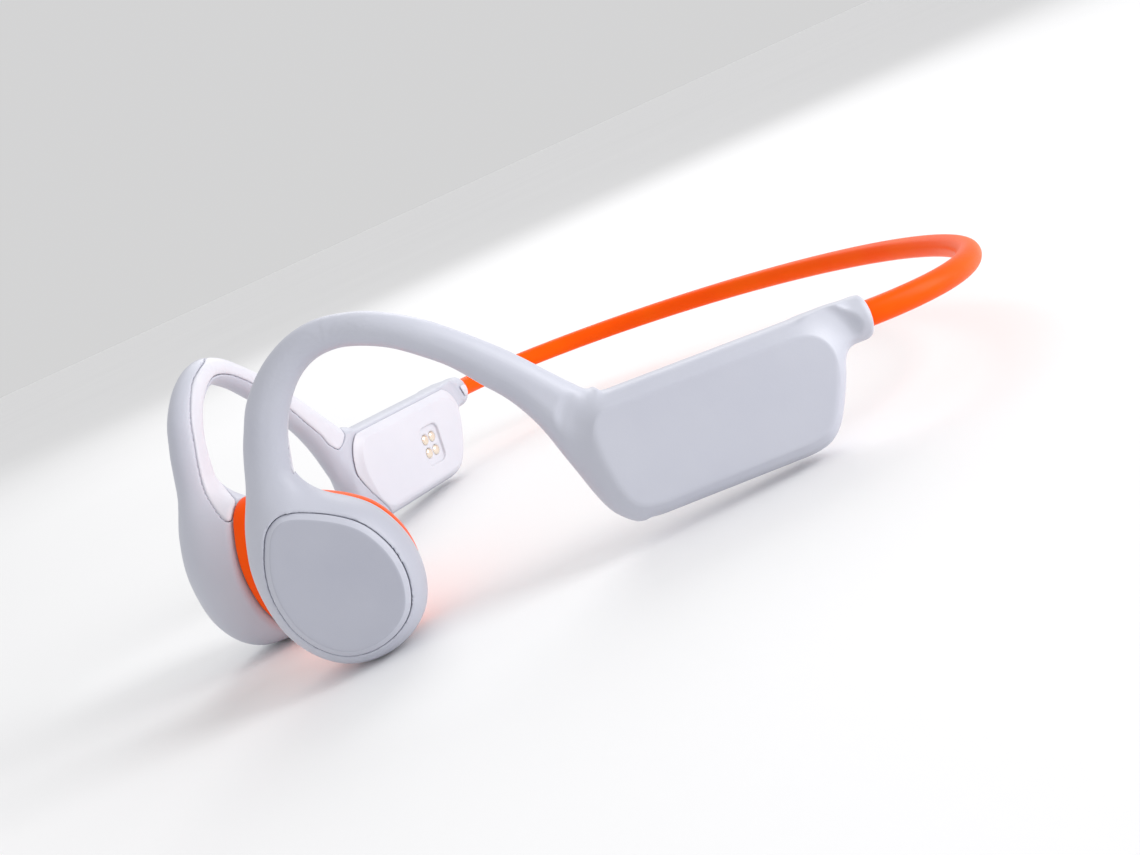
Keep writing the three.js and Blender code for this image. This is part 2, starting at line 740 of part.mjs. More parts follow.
function rightElectronics(group) {
  const add = (name, geometry, material) => place(group, "right_" + name, geometry, material);
  add("transducer_cap", inTransducer(capForm()), MATERIALS.disc);
  const boardFace = 0.1;
  const boardLength = cavity.front - cavity.rear - 1;
  const boardBottom = cavity.bottom + 0.5;
  const boardHeight = cavity.top - 0.5 - boardBottom;
  const middle = [(cavity.front + cavity.rear) / 2, boardBottom + boardHeight / 2];
  add(
    "main_board",
    plate(
      roundedRectangle(boardLength, boardHeight, BOARD_CORNER, middle),
      boardFace - BOARD_THICKNESS, boardFace - 0.2,
    ),
    MATERIALS.board,
  );
  const canFace = boardFace + 0.1;
  const canOutline = roundedRectangle(
    SHIELD_CAN.length, SHIELD_CAN.height, SHIELD_CAN.corner, SHIELD_CAN.centre,
  );
  add("shield_can", plate(canOutline, canFace, canFace + SHIELD_CAN.thickness), MATERIALS.foil);
  const carrierBack = boardFace - BOARD_THICKNESS - GAP;
  const carrierFront = -half + WALL + GAP;
  const pinHoles = contactPlaces().map((spot) =>
    at(disc(PIN_HOLE_RADIUS, -half, half, 8), spot),
  );
  const carrierOutline = roundedRectangle(
    CARRIER.length, CARRIER.height, CARRIER.corner, CONTACT_CENTRE,
  );
  const carrier = plate(carrierOutline, carrierFront, carrierBack);
  add("contact_carrier", cut(carrier, ...pinHoles), MATERIALS.black);
  const floor = -half + DOCK_RECESS.depth;
  contactPlaces().forEach((spot, i) => {
    const profile = [
      [0, floor - CONTACT_DOME],
      [CONTACT_RADIUS - CONTACT_DOME, floor - CONTACT_DOME],
      [CONTACT_RADIUS, floor],
      [CONTACT_RADIUS, carrierFront - GAP],
      [PIN_RADIUS, carrierFront - GAP],
      [PIN_RADIUS, carrierBack - 0.2],
      [0, carrierBack - 0.2],
    ];
    add("charging_contact_" + (i + 1), at(turned(profile, 8), spot), MATERIALS.gold);
  });
  [-1, 1].forEach((sign, i) => {
    const spot = [CONTACT_CENTRE[0] + sign * DOCK_MAGNET_OFFSET, CONTACT_CENTRE[1]];
    const magnet = disc(DOCK_MAGNET_RADIUS, carrierFront, carrierBack, 14);
    add("dock_magnet_" + (i + 1), at(magnet, spot), MATERIALS.steel);
  });
  for (const [name, forward] of Object.entries(VOLUME_KEYS)) {
    add(name + "_button", volumeKey(forward, 0), MATERIALS.shell);
    const top = POD_BOTTOM + WALL + VOLUME_KEY.inside + VOLUME_TRAVEL + GAP / 2;
    const start = boardFace + 0.1;
    add(
      name + "_switch",
      box(
        [forward - SWITCH.length / 2, forward + SWITCH.length / 2], [top, top + SWITCH.height],
        [start, start + SWITCH.width],
      ),
      MATERIALS.black,
    );
  }
  add("microphone", microphone(boardFace + 0.1), MATERIALS.foil);
}

// Assembly

const leftArm = arm("left");
leftElectronics(leftArm);
const rightArm = arm("right");
rightElectronics(rightArm);
const mirrored = new THREE.Group();
mirrored.scale.x = -1;
mirrored.add(rightArm);

// It stands on the two bowls and the rear corners of the two pods.
const bowlBottom = TRANSDUCER_DROP - DISC_BOTTOM + BOWL_SWELL;
const stanceTilt = Math.atan2(
  bowlBottom + POD_BOTTOM, (TRANSDUCER_FORWARD - POD_FOOT) * Math.cos(ARM_SPLAY),
);
const standing = new THREE.Group();
standing.add(neckband(), leftArm, mirrored);
standing.rotation.x = -stanceTilt;

const headphones = new THREE.Group();
headphones.add(standing);
const extent = new THREE.Box3().setFromObject(headphones, true);
const middle = extent.getCenter(new THREE.Vector3());
standing.position.set(-middle.x, -middle.y, -extent.min.z);

export default headphones;
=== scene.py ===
import math

import bpy
import numpy as np
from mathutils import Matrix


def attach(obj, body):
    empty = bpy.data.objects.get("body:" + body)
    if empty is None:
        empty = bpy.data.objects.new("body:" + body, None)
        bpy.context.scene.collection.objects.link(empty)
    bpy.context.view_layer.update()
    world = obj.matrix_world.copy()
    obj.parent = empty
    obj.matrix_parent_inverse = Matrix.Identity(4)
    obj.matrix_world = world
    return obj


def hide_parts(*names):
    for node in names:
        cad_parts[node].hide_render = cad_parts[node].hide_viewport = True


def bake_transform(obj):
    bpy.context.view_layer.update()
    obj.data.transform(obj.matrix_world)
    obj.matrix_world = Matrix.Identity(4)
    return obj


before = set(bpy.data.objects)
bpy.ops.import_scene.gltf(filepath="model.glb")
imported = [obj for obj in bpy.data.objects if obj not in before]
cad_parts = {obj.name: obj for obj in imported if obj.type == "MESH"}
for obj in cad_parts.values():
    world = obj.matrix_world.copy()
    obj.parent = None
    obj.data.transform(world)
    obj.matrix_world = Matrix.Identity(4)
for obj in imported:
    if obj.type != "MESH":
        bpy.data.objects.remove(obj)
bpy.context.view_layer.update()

import openvdb
from mathutils import Matrix, Vector

# Bone conduction headphones. Shapes are worked out in millimetres in an arm's own frame,
# forward, up and out from the head, and are then placed in the frame of the CAD model.

MM = 0.001
VOXEL = 0.24  # grid step of the moulded shapes, mm
SIDES = ("left", "right")

# Overall form, as in the CAD model
BAND_HALF_WIDTH = 62.4
BAND_REACH = 57.0
BAND_RISE = 1.0
BAND_SIDE_HANDLE = 29.0
BAND_BACK_HANDLE = 43.3
BAND_RADIUS = 2.0
BAND_SEAT = 4.7
WIRE_SEAT = 9.0
WIRE_RADIUS = 0.45
WIRE_OFFSET = 0.6
LEAD_RADIUS = 0.4
LEAD_OFFSET = -0.55
ARM_SPLAY = math.radians(25.8)
ARM_TILT = math.radians(-3.2)
STANCE_TILT = math.atan2(5.9, 69.5 * math.cos(ARM_SPLAY))
POD_HALF = 4.3
POD_TOP = 3.5
COLLAR_RADIUS = 3.5
BOWL_CENTRE = (84.0, -8.6, -8.5)  # forward, up, out
BOWL_SPLAY = math.radians(4.4)
BOWL_TILT = math.radians(2.0)
BOWL_SWELL = 2.2
BOWL_WIDEST = 0.3  # out from the bowl's middle
BOWL_ROUNDING = (6.3, 15.5)  # radius outward and inward of its widest outline
BOWL_SLOPE = 0.85  # turns the outline's distance into about the surface's
CAP_FACE = 5.7
CAP_SET_IN = 0.45  # the bowl's edge under the disc's face
CAP_SEAT = 0.6
FLOOR_FACE = -0.6
DRIVER_WALL = 0.75
RIM_FACE = -6.0
SEAM = 0.045  # half the width of a seam
OVERSHOOT = 3.0  # how far a cutting shape stands clear of what it cuts

# Fillets and eased edges, mm
POD_HOOK_FILLET = 1.8
HOOK_BOWL_FILLET = 4.0
COLLAR_FILLET = 2.4
COLLAR_EDGE = 1.2
POD_CORNER = 4.2
POD_TOP_EDGE = 0.5
PANEL_EDGE = 0.3
RIDGE_EDGE = 0.6
BOWL_EDGE = 0.9
RIM_EDGE = 0.5
SEAM_EDGE = 0.06
INNER_EDGE = 0.1
CAP_SEAT_EDGE = 0.08
KEY_EDGE = 0.14
DOCK_EDGE = 0.1

# Inside the pod
SHELL_WALL = 1.1
CAVITY_LOW = (10.2, -14.7, -3.1)  # forward, up, out
CAVITY_HIGH = (42.3, 1.9, 3.1)
BORE_PLAY = 0.12
BORE_END = 12.0
COLLAR_REACH = (-0.2, 9.0)
POD_SWELL = 0.6  # the pod's rounding starts this far outside its flat panels
HOOK_START = 40.5  # in front of this the top edge may rise into the hook
RIDGE_SLOPE = 1.4
THINNEST_HOOK = 1.5

# Shapes


def smooth_curve(points, closed=False, per=8):
    """Points along a Catmull-Rom curve through the given ones."""
    p = np.array(points, float)
    if closed:
        p = np.vstack([p[-1], p, p[:2]])
    else:
        p = np.vstack([2 * p[0] - p[1], p, 2 * p[-1] - p[-2]])
    t = np.linspace(0, 1, per, endpoint=False)[:, None]
    out = []
    for a, b, c, d in zip(p[:-3], p[1:-2], p[2:-1], p[3:]):
        out.append(
            0.5 * (2 * b + (c - a) * t + (2 * a - 5 * b + 4 * c - d) * t**2
                   + (3 * b - a - 3 * c + d) * t**3)
        )
    if not closed:
        out.append(p[-2:-1])
    return np.vstack(out)


def even_loop(points, count):
    """A closed smooth loop with evenly spaced points, anticlockwise."""
    loop = smooth_curve(points, closed=True, per=24)
    loop = np.vstack([loop, loop[:1]])
    run = np.r_[0, np.cumsum(np.linalg.norm(np.diff(loop, axis=0), axis=1))]
    at = np.linspace(0, run[-1], count, endpoint=False)
    even = np.stack([np.interp(at, run, loop[:, i]) for i in range(2)], axis=1)
    x, y = even.T
    turn = np.sum(x * np.roll(y, -1) - np.roll(x, -1) * y)
    return even if turn > 0 else even[::-1]


def grown(loop, amount):
    tangent = np.roll(loop, -1, axis=0) - np.roll(loop, 1, axis=0)
    normal = np.stack([tangent[:, 1], -tangent[:, 0]], axis=1)
    return loop + amount * normal / np.linalg.norm(normal, axis=1, keepdims=True)


DISC = [
    (8.4, 7.3), (7.2, 9.7), (5.5, 11.1), (3.5, 11.4), (0.7, 10.5), (-3.1, 8.5), (-6.1, 6),
    (-8.2, 2.4), (-9.1, -1.3), (-8.9, -4.9), (-7.6, -8), (-4.8, -10.3), (-1, -11.4), (2.8, -10.9),
    (6, -8.7), (8.4, -5.2), (9.5, -1.4), (9.7, 1.8), (9.3, 4.6),
]
EGG = even_loop(DISC, 120)

HOOK_OUTLINE = (
    [(40.4, 2.6), (42.4, 4.4), (45.7, 7.8), (50.6, 13.1), (55.6, 17.7), (60.7, 21.8),
     (66.2, 24.9), (70.1, 26.2), (74.3, 26.8), (78.3, 26.2), (82.0, 24.5), (85.2, 22.0),
     (87.8, 18.9), (89.5, 15.5), (90.9, 12.1), (92.9, 5.4), (94, 0), (94, -4.5)]
    + [(92, -8), (86, -8), (83.4, -4), (84.2, 2)]
    + [(85.0, 7.2), (84.7, 9.4), (83.6, 13.6), (81.6, 17.3), (79.2, 20), (76.3, 21.6),
       (73.0, 21.9), (69.8, 21.1), (66.1, 19.4), (62.6, 16.9), (59.2, 14), (56.1, 10.3),
       (53, 6.6), (50.3, 1.7), (48.1, -4.7), (45.8, -10.8), (43.5, -14.2), (40.5, -14.5)]
)
# forward, up, out from the head and half thickness across the arm
HOOK_LINE = [
    (38, -6, 0, 2.9), (44.5, -2, 0, 2.9), (48.6, 4.8, 0.3, 2.75), (51.9, 9.8, 0.5, 2.65),
    (57, 15.2, 0.5, 2.6), (62.7, 20.1, 0.3, 2.5), (68, 23, -0.8, 2.5), (73, 24.3, -2.6, 2.5),
    (77.7, 23.8, -4, 2.55), (82, 20.9, -5.1, 2.6), (85.6, 16.2, -6.1, 2.75),
    (88.2, 9, -7.2, 3.0), (88.6, 3, -7.9, 3.3), (88, -4, -8.3, 3.5),
]
POD_OUTLINE = [
    (4.0, 3.5), (42.6, 3.5), (45.2, 1.9), (46.2, -2), (46, -6), (45.5, -9.5), (44.6, -12.6),
    (43.2, -14.6), (41.4, -15.8), (38.6, -16.3), (14.4, -16.3), (12, -15.9), (10.4, -15),
    (8.9, -13.4), (7.4, -10.6), (6, -7.4), (4.9, -4),
]
OUTER_PANEL = [
    (12.5, 1.0), (42.2, 1.1), (43.7, -0.4), (44.6, -2.4), (44.9, -4.6), (44.6, -7.5),
    (44.1, -10), (43.1, -12.3), (41.6, -13.8), (39.6, -14.4), (14.6, -14.1), (12.2, -13.6),
    (10.4, -12.2), (8.8, -9.8), (7.7, -7.2), (7.3, -4.4), (7.5, -2.2), (8.6, -0.4), (10.2, 0.6),
]
INNER_PANEL = [
    (12.5, 1.1), (39.8, 1.1), (41.3, 0.3), (42.4, -1.4), (43, -3.8), (42.9, -6.2), (42.2, -9),
    (41.1, -11.9), (39.2, -13.8), (36.7, -14.6), (14.6, -14.4), (12.2, -13.7), (10.4, -12.2),
    (8.8, -9.8), (7.7, -7.2), (7.3, -4.4), (7.5, -2.2), (8.6, -0.4), (10.2, 0.7),
]
PANEL_SLOPE = 0.7  # fall of the surface just outside the panel
PANEL_FALL = 2.2  # most that it falls
PANEL_REACH = 4.0  # past this far from the panel the surface is left as it is
PANEL_RELEASE = 0.25
COVER_OUTLINE = [
    (-4, 8), (47.2, 8), (47, 1.5), (46.1, -2), (44.6, -6.2), (43, -9.5), (41.2, -12.2),
    (39, -15), (36.5, -20), (-4, -20),
]
PARTING = -3.0
DOCK_CENTRE = (20.0, -7.0)
DOCK_SIZE = (6.7, 8.3)
DOCK_CORNER = 1.5
DOCK_DEPTH = 0.6
CONTACT_RADIUS = 1.05
CONTACT_SPACING = (2.6, 3.0)
VOLUME_KEYS = {"volume_up": 34.0, "volume_down": 24.0}
VOLUME_KEY = (7.0, 2.4, 1.1)  # length, width, corner
VOLUME_ACROSS = 1.4
VOLUME_PROUD = 0.5
KEY_GAP = 0.15
POD_BOTTOM = -16.3

# Placing

STANDING_AT = (0.0, 12.6161, 15.8552)  # the band's middle over the part's origin
STANDING = Matrix.Translation(STANDING_AT) @ Matrix.Rotation(-STANCE_TILT, 4, "X")
LEFT_ARM = (
    STANDING
    @ Matrix.Translation((BAND_HALF_WIDTH, 0, 0))
    @ Matrix.Rotation(-ARM_SPLAY, 4, "Z")
    @ Matrix.Rotation(ARM_TILT, 4, "Y")
)
BOWL = (
    Matrix.Translation((BOWL_CENTRE[2], -BOWL_CENTRE[0], BOWL_CENTRE[1]))
    @ Matrix.Rotation(-BOWL_SPLAY, 4, "Z")
    @ Matrix.Rotation(BOWL_TILT, 4, "Y")
)
MIRROR = Matrix.Scale(-1, 4, (1, 0, 0))
ARM = {"left": LEFT_ARM, "right": MIRROR @ LEFT_ARM}


def to_metres(points, matrix):
    """Points in mm in a local frame, as points in metres in the part's frame."""
    m = np.array(matrix, float)
    return (np.asarray(points, float) @ m[:3, :3].T + m[:3, 3]) * MM


def make_piece(name, points, faces, matrix, material, body=None, sharp=None):
    """A mesh object from local points in mm; a mirroring matrix turns its faces round."""
    mesh = bpy.data.meshes.new(name)
    if matrix.determinant() < 0:
        faces = [tuple(reversed(f)) for f in faces]
    mesh.from_pydata(to_metres(points, matrix).tolist(), [], faces)
    mesh.update()
    mesh.shade_smooth()
    if sharp:
        mesh.set_sharp_from_angle(angle=math.radians(sharp))
    piece = bpy.data.objects.new(name, mesh)
    bpy.context.scene.collection.objects.link(piece)
    for one in material if isinstance(material, (list, tuple)) else [material]:
        mesh.materials.append(one)
    if body:
        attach(piece, body)
    return piece


# Fields: signed distances in mm on an even grid, negative inside


class Grid:
    """Forward, up and out coordinates of an arm's voxels."""

    def __init__(self, low, high, step):
        self.low, self.step = np.array(low, float), step
        axes = [np.arange(a, b, step, dtype=np.float32) for a, b in zip(low, high)]
        self.u = axes[0][:, None, None]
        self.z = axes[1][None, :, None]
        self.n = axes[2][None, None, :]
        self.u2, self.z2 = axes[0][:, None], axes[1][None, :]


def outline_distance(outline, u, z):
    """Signed distance from points of the arm's plane to a closed outline."""
    p = np.array(outline, np.float32)
    u, z = np.broadcast_arrays(u, z)
    best = np.full(u.shape, 1e9, np.float32)
    inside = np.zeros(u.shape, bool)
    for (ax, ay), (bx, by) in zip(p, np.roll(p, -1, axis=0)):
        ex, ey = bx - ax, by - ay
        t = np.clip(((u - ax) * ex + (z - ay) * ey) / (ex * ex + ey * ey), 0, 1)
        best = np.minimum(best, (u - ax - t * ex) ** 2 + (z - ay - t * ey) ** 2)
        if ay != by:
            crosses = (ay > z) != (by > z)
            inside ^= crosses & (u < (z - ay) * ex / ey + ax)
    return np.where(inside, -1, 1) * np.sqrt(best)


def join(a, b, blend):
    """Union with a fillet of about the blend's size."""
    h = np.clip(0.5 + 0.5 * (b - a) / blend, 0, 1)
    return b + (a - b) * h - blend * h * (1 - h)


def common(a, b, blend):
    """Intersection with a rounded edge."""
    return -join(-a, -b, blend)


def cut(a, b, blend):
    return -join(-a, b, blend)


def box_field(grid, low, high):
    parts = []
    for axis, a, b in zip((grid.u, grid.z, grid.n), low, high):
        parts += [a - axis, axis - b]
    out = parts[0]
    for part in parts[1:]:
        out = np.maximum(out, part)
    return out


def slab(flat, across, low, high):
    """What lies inside a flat outline's distance and between two heights across."""
    return np.maximum(np.maximum(flat, low - across), across - high)


def hook_field(grid):
    """The hook's field, and the line through its middle."""
    outline = smooth_curve(HOOK_OUTLINE, closed=True, per=4)
    flat = outline_distance(outline, grid.u2, grid.z2)
    line = smooth_curve(HOOK_LINE, per=24)
    near = np.zeros(flat.shape, np.int32)
    best = np.full(flat.shape, 1e9, np.float32)
    for i, (u, z, _, _) in enumerate(line):
        d = (grid.u2 - u) ** 2 + (grid.z2 - z) ** 2
        closer = d < best
        near[closer], best[closer] = i, d[closer]
    half = -outline_distance(outline, line[:, 0].astype(np.float32), line[:, 1].astype(np.float32))
    half = np.maximum(half, THINNEST_HOOK)
    a = half[near]
    centre, b = line[near, 2], line[near, 3]
    off = np.maximum(a + flat, 0)[..., None]
    a, b, centre = (v.astype(np.float32)[..., None] for v in (a, b, centre))
    q = grid.n - centre
    k0 = np.sqrt((off / a) ** 2 + (q / b) ** 2)
    k1 = np.sqrt((off / a**2) ** 2 + (q / b**2) ** 2)
    field = k0 * (k0 - 1) / np.maximum(k1, 1e-4)
    return field, line


def pod_field(grid):
    body = outline_distance(smooth_outline(POD_OUTLINE), grid.u2, grid.z2)[..., None]
    corner, half = POD_CORNER, POD_HALF + POD_SWELL
    w1, w2 = body + corner, np.abs(grid.n) - half + corner
    pod = np.hypot(np.maximum(w1, 0), np.maximum(w2, 0)) - corner
    pod = pod + np.minimum(np.maximum(w1, w2), 0)
    collar = np.hypot(grid.z, grid.n) - COLLAR_RADIUS
    ends = np.maximum(COLLAR_REACH[0] - grid.u, grid.u - COLLAR_REACH[1])
    collar = common(collar, ends, COLLAR_EDGE)
    pod = join(pod, collar, COLLAR_FILLET)
    return common(pod, grid.z - POD_TOP, POD_TOP_EDGE)


CORNER_CUTS = 3
CORNER_SHARE, CORNER_CUT = 0.25, 0.6  # most that a cut takes: of a side's length, and mm


def smooth_outline(points):
    """The outline with its corners eased by cutting them a few times."""
    p = np.array(points, float)
    for _ in range(CORNER_CUTS):
        nxt = np.roll(p, -1, axis=0)
        length = np.linalg.norm(nxt - p, axis=1, keepdims=True)
        ease = np.minimum(CORNER_SHARE, CORNER_CUT / np.maximum(length, 1e-6))
        p = np.stack([p + (nxt - p) * ease, nxt + (p - nxt) * ease], axis=1).reshape(-1, 2)
    return p


def facet(field, grid, outline, face):
    """Flattens the pod to a flat panel, past which the surface falls away at a slope."""
    flat = outline_distance(smooth_outline(outline), grid.u2, grid.z2)[..., None]
    past = np.maximum(flat, 0)
    fall = PANEL_FALL * (1 - np.exp(-past * PANEL_SLOPE / PANEL_FALL))
    free = PANEL_RELEASE * np.maximum(flat - PANEL_REACH, 0) ** 2
    out = grid.n * math.copysign(1, face) - abs(face)
    plane = (out + fall - free) / math.hypot(1, PANEL_SLOPE)
    return common(field, plane, PANEL_EDGE)


def bowl_axes(grid):
    """Each voxel's forward, up and out in the transducer's own frame."""
    turn = np.array(BOWL.inverted().to_3x3(), np.float32)
    x = grid.n - BOWL_CENTRE[2]
    y = -(grid.u - BOWL_CENTRE[0])
    z = grid.z - BOWL_CENTRE[1]
    w, rear, up = (turn[i, 0] * x + turn[i, 1] * y + turn[i, 2] * z for i in range(3))
    return -rear, up, w


EGG_STEP, EGG_REACH = 0.2, 22.0


def egg_table():
    ticks = np.arange(-EGG_REACH, EGG_REACH, EGG_STEP, dtype=np.float32)
    return outline_distance(EGG, ticks[:, None], ticks[None, :])


EGG_TABLE = egg_table()


def egg_distance(forward, up):
    """Signed distance to the disc's outline, read from a fine table."""
    size = len(EGG_TABLE)
    x = np.clip((forward + EGG_REACH) / EGG_STEP, 0, size - 2)
    y = np.clip((up + EGG_REACH) / EGG_STEP, 0, size - 2)
    i, j = x.astype(np.int32), y.astype(np.int32)
    fx, fy = x - i, y - j
    low = EGG_TABLE[i, j] * (1 - fx) + EGG_TABLE[i + 1, j] * fx
    high = EGG_TABLE[i, j + 1] * (1 - fx) + EGG_TABLE[i + 1, j + 1] * fx
    return low * (1 - fy) + high * fy


def bowl_field(egg, w):
    radius = np.where(w > BOWL_WIDEST, *BOWL_ROUNDING)
    drop = np.sqrt(np.maximum(radius**2 - (w - BOWL_WIDEST) ** 2, 1))
    bulge = BOWL_SWELL - radius + drop
    side = (egg - bulge) * BOWL_SLOPE
    faces = np.maximum(w - CAP_FACE + CAP_SET_IN, RIM_FACE - w)
    return common(side, faces, BOWL_EDGE)


def arm_fields(grid):
    """The fields of the moulding, the pod's inner cover and the hook's strip."""
    hook, hook_line = hook_field(grid)
    form = join(pod_field(grid), hook, POD_HOOK_FILLET)
    forward, up, w = bowl_axes(grid)
    egg = egg_distance(forward, up)
    form = join(form, bowl_field(egg, w), HOOK_BOWL_FILLET)
    ridge = POD_TOP + np.maximum(grid.u - HOOK_START, 0) * RIDGE_SLOPE
    form = common(form, grid.z - ridge, RIDGE_EDGE)
    form = facet(form, grid, OUTER_PANEL, POD_HALF)
    form = facet(form, grid, INNER_PANEL, -POD_HALF)

    strip = strip_region(grid, hook_line)
    flat_cover = outline_distance(smooth_outline(COVER_OUTLINE), grid.u2, grid.z2)[..., None]
    cover = np.maximum(flat_cover, grid.n - PARTING)
    bore = np.maximum(np.hypot(grid.z, grid.n) - BAND_RADIUS - BORE_PLAY, grid.u - BORE_END)
    hollow = np.maximum(box_field(grid, CAVITY_LOW, CAVITY_HIGH), form + SHELL_WALL)
    hollow = np.minimum(hollow, bore)
    driver = slab(egg + DRIVER_WALL, w, RIM_FACE - OVERSHOOT, FLOOR_FACE)
    cap_seat = slab(egg - SEAM, w, CAP_SEAT, CAP_FACE + OVERSHOOT)

    groove = np.maximum(strip - SEAM, -form - STRIP_DEPTH - SEAM)
    shell = cut(form, groove, SEAM_EDGE)
    shell = cut(shell, cover - SEAM, SEAM_EDGE)
    shell = cut(shell, hollow, INNER_EDGE)
    shell = cut(shell, driver, RIM_EDGE)
    shell = cut(shell, cap_seat, CAP_SEAT_EDGE)
    lid = common(common(form, cover + SEAM, SEAM_EDGE), -hollow, INNER_EDGE)
    inlay = common(common(form, strip + SEAM, SEAM_EDGE), -form - STRIP_DEPTH, INNER_EDGE)
    return {"shell": shell, "cover": lid, "strip": inlay}


STRIP_DEPTH = 1.0
STRIP_BACK = -0.3  # the strip's top edge, outward of the hook's middle
STRIP_BACK_SLOPE = 0.9
STRIP_OUTLINE = [
    (43.6, 3.9), (44.8, 2.2), (46.2, 1.3), (47.4, 1.3), (48.9, 2.9), (50, 5.1), (51.8, 7.6),
    (53.7, 10.1), (55.7, 12.5), (59, 16), (62.6, 19.2), (66.2, 21.4), (69.5, 22.7), (73, 23.3),
    (76, 23), (79, 21.3), (82, 17.5), (83.5, 12.5), (84.3, 9.4), (85.6, 6.8), (87, 5), (88.4, 3.6),
    (90, 2.2), (90.8, 1.5), (91.6, 1.7), (91.5, 3), (90.6, 6), (89.6, 9.1), (88.6, 12),
    (87.4, 14.8), (86.3, 17.3), (84.9, 19.6), (83.2, 21.7), (81.3, 23.5), (78.8, 24.9),
    (75.7, 25.9), (72.5, 26.6), (68, 26.6), (60, 22.5), (50, 14), (44, 8),
]


def strip_region(grid, line):
    """A band along the hook's inner side, round at both ends."""
    outline = smooth_curve(STRIP_OUTLINE, closed=True, per=6)
    flat = outline_distance(outline, grid.u2, grid.z2)[..., None]
    centre = smooth_centre(grid, line)
    return np.maximum(flat, (grid.n - centre - STRIP_BACK) * STRIP_BACK_SLOPE)


def smooth_centre(grid, line):
    """The hook's middle across the arm, as a smooth function of forward."""
    order = np.argsort(line[:, 0])
    return np.interp(grid.u, line[order, 0], line[order, 2])


def field_mesh(field, grid):
    """Points in mm and faces of a field's zero surface."""
    limit = 3 * grid.step
    values = np.ascontiguousarray(np.clip(field, -limit, limit), dtype=np.float32)
    level = openvdb.FloatGrid(limit)
    level.copyFromArray(values)
    points, quads = level.convertToQuads(0.0)
    points = points * grid.step + grid.low
    local = np.stack([points[:, 2], -points[:, 0], points[:, 1]], axis=1)
    a, b, c, d = (local[quads[:, i]] for i in range(4))
    volume = np.einsum("ij,ij->i", a, np.cross(b, c) + np.cross(c, d)).sum()
    if volume < 0:
        quads = quads[:, ::-1]
    return local, quads.tolist()


# Meshes from rings


def rings_mesh(rings):
    """A closed skin over rings of equal count, each ring an array of local points."""
    count = len(rings[0])
    points = list(np.vstack(rings))
    faces, marks = [], []
    for i in range(len(rings) - 1):
        for j in range(count):
            k = (j + 1) % count
            faces.append((i * count + j, i * count + k, (i + 1) * count + k, (i + 1) * count + j))
            marks.append(i)
    for end in (0, len(rings) - 1):
        points.append(rings[end].mean(axis=0))
        for j in range(count):
            a, b = end * count + j, end * count + (j + 1) % count
            faces.append((b, a, len(points) - 1) if end == 0 else (a, b, len(points) - 1))
            marks.append(end)
    return np.array(points), faces, marks


def stack_rings(loop, layers):
    """Rings of an outline across the arm: layers are (out, growth) with out rising."""
    rings = []
    for out, growth in layers:
        ring = grown(loop, growth)
        rings.append(np.stack([np.full(len(ring), out), -ring[:, 0], ring[:, 1]], axis=1)[::-1])
    return rings


def rounded_rectangle(length, height, corner, steps=6):
    points = []
    for i in range(4):
        sx, sy = ((1, 1), (-1, 1), (-1, -1), (1, -1))[i]
        for j in range(steps + 1):
            angle = (i + j / steps) * math.pi / 2
            points.append((
                sx * (length / 2 - corner) + math.cos(angle) * corner,
                sy * (height / 2 - corner) + math.sin(angle) * corner,
            ))
    return np.array(points)


def shrink_to_middle(rings, shares):
    """More rings inside the last one, towards its middle."""
    last = rings[-1]
    middle = last.mean(axis=0)
    for share in shares:
        rings.append(middle + (last - middle) * share)
    return rings


def swept(path, section, up=(0, 0, 1)):
    """Rings of a flat section carried along a path; the section is (sideways, up) pairs."""
    path = np.asarray(path, float)
    along = np.gradient(path, axis=0)
    along /= np.linalg.norm(along, axis=1, keepdims=True)
    side = np.cross(along, up)
    side /= np.linalg.norm(side, axis=1, keepdims=True)
    above = np.cross(side, along)
    return [
        p + section[:, :1] * s + section[:, 1:] * a for p, s, a in zip(path, side, above)
    ]


def circle(radius, sides, offset=0.0):
    angle = np.linspace(0, 2 * math.pi, sides, endpoint=False)
    return np.stack([offset + radius * np.cos(angle), radius * np.sin(angle)], axis=1)


def hollow_mesh(outer, inner):
    """A tube with open ends from matching rings of its outside and its bore."""
    count, runs = len(outer[0]), len(outer)
    points = np.vstack(outer + inner)
    faces = []
    for i in range(runs - 1):
        for j in range(count):
            k = (j + 1) % count
            a, b, c, d = i * count + j, i * count + k, (i + 1) * count + k, (i + 1) * count + j
            faces.append((a, d, c, b))
            base = runs * count
            faces.append((base + a, base + b, base + c, base + d))
    for i, flip in ((0, False), (runs - 1, True)):
        for j in range(count):
            k = (j + 1) % count
            ring = (i * count + j, i * count + k, (runs + i) * count + k, (runs + i) * count + j)
            faces.append(tuple(reversed(ring)) if flip else ring)
    return points, faces


# Materials


def tone(red, green, blue):
    """A shader colour from display values between 0 and 255."""
    def linear(value):
        value /= 255
        return value / 12.92 if value <= 0.04045 else ((value + 0.055) / 1.055) ** 2.4
    return (linear(red), linear(green), linear(blue), 1.0)


